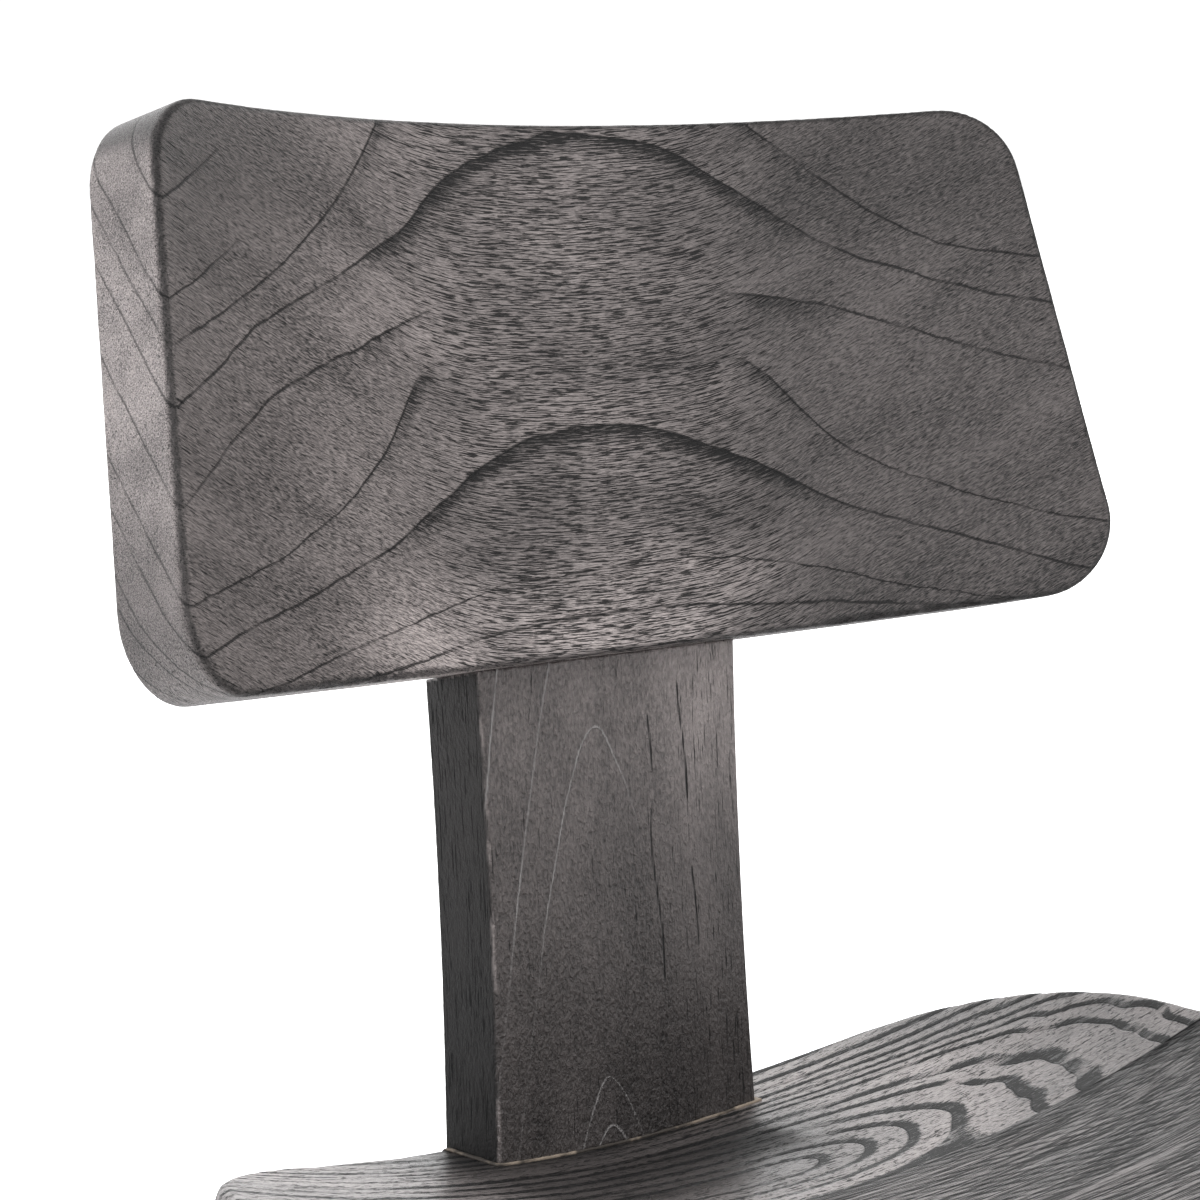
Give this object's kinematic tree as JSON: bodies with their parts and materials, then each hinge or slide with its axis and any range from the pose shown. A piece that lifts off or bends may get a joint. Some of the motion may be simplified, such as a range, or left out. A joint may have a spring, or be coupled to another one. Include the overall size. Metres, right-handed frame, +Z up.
{
  "type": "wooden chair back and seat",
  "caption": "Dark stained wooden chair top: a curved, hollow-faced head panel on a broad leaning post that stands on a dished, rounded seat with blind leg sockets.",
  "frame": {"origin": "centre of the whole object's footprint, level with the seat's flat underside", "axes": "+Z up, -Y the way the sitter faces, +X to the sitter's left"},
  "size_m": [0.442, 0.4559, 0.3827],
  "materials": {
    "stained_wood": "black stain on wire-brushed open grain, matt with a low sheen",
    "dowel_wood": "plain turned hardwood, unfinished",
    "wood_filler": "hardened wood filler, rubbed down by hand"
  },
  "bodies": {
    "root": {"head_panel": "stained_wood", "back_post": "stained_wood", "seat_board_rear": "stained_wood", "seat_board_middle": "stained_wood", "seat_board_front": "stained_wood", "tenon_pegs": "stained_wood", "tenon_wedges": "stained_wood", "rear_joint_dowels": "dowel_wood", "front_joint_dowels": "dowel_wood", "foot_filler": "wood_filler"}
  },
  "joints": []
}
